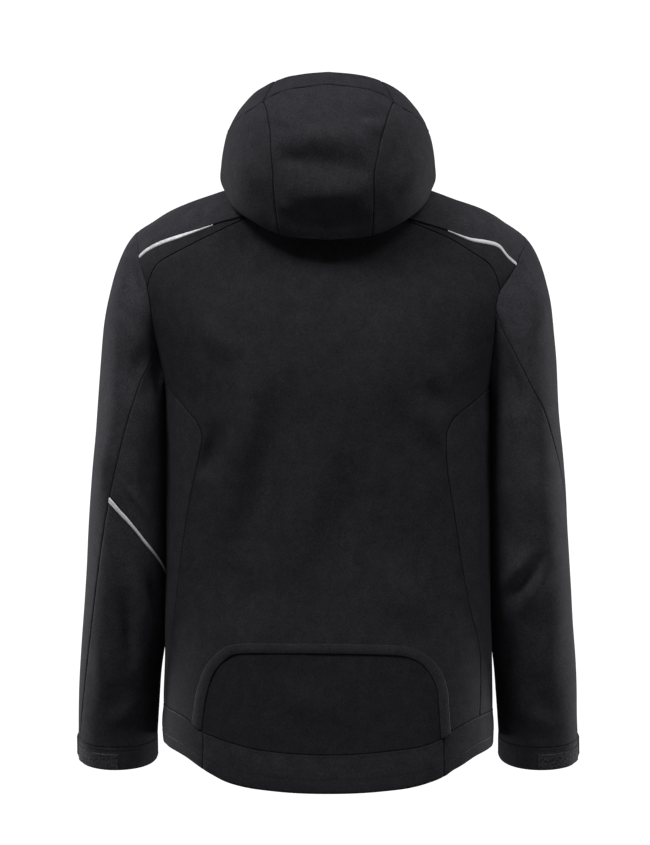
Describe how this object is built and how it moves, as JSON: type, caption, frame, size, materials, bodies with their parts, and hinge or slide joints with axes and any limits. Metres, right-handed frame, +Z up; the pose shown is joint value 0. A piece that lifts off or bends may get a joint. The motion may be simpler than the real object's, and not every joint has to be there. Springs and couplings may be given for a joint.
{
  "type": "softshell jacket",
  "caption": "Hooded zip-front softshell jacket in its worn, hollow form, with panelled back, drop tail and arched lower back inset.",
  "frame": {"origin": "middle of the neck at the height of the shoulders, where the wearer's neck and shoulders hold it", "axes": "+Z up, -Y out of the back, +X to the wearer's right"},
  "size_m": [0.6484, 0.3074, 0.8845],
  "materials": {
    "shell_cloth": "matt black softshell",
    "sleeve_cloth": "matt black softshell, a little lighter",
    "hood_cloth": "matt black softshell, a little lighter",
    "side_cloth": "matt black softshell, a little darker",
    "inset_cloth": "matt black softshell, darker",
    "reflective_tape": "light grey reflective tape",
    "loop_tape": "black loop pile",
    "zip_tape": "black woven tape with black coil",
    "dark_metal": "satin gunmetal"
  },
  "bodies": {
    "jacket": {"back_panel": "shell_cloth", "lower_back_panel": "inset_cloth", "lower_back_welt": "shell_cloth", "back_wedge_left": "shell_cloth", "shoulder_yoke_left": "sleeve_cloth", "shoulder_piping_left": "reflective_tape", "side_panel_left": "side_cloth", "front_left": "shell_cloth", "sleeve_outer_left": "sleeve_cloth", "sleeve_under_left_upper": "sleeve_cloth", "sleeve_under_left_lower": "sleeve_cloth", "elbow_piping_left": "reflective_tape", "cuff_left": "sleeve_cloth", "cuff_loop_strip_left": "loop_tape", "cuff_tab_left": "sleeve_cloth", "back_wedge_right": "shell_cloth", "shoulder_yoke_right": "sleeve_cloth", "shoulder_piping_right": "reflective_tape", "side_panel_right": "side_cloth", "front_right": "shell_cloth", "sleeve_outer_right": "sleeve_cloth", "sleeve_under_right": "sleeve_cloth", "cuff_right": "sleeve_cloth", "cuff_loop_strip_right": "loop_tape", "cuff_tab_right": "sleeve_cloth", "hem_band_back": "shell_cloth", "hem_band_left": "shell_cloth", "hem_band_right": "shell_cloth", "hood_centre": "hood_cloth", "hood_side_left": "hood_cloth", "hood_side_right": "hood_cloth", "hood_edge_band": "hood_cloth", "zip_tape_left": "zip_tape", "zip_tape_right": "zip_tape", "zip_slider": "dark_metal"},
    "puller": {"zip_pull": "dark_metal"}
  },
  "joints": [
    {"name": "zip_pull_swing", "type": "hinge", "parent": "jacket", "child": "puller", "pos_m": [0, 0.0751, 0.004], "axis": [1, 0, 0], "range_deg": [0, 150]}
  ]
}
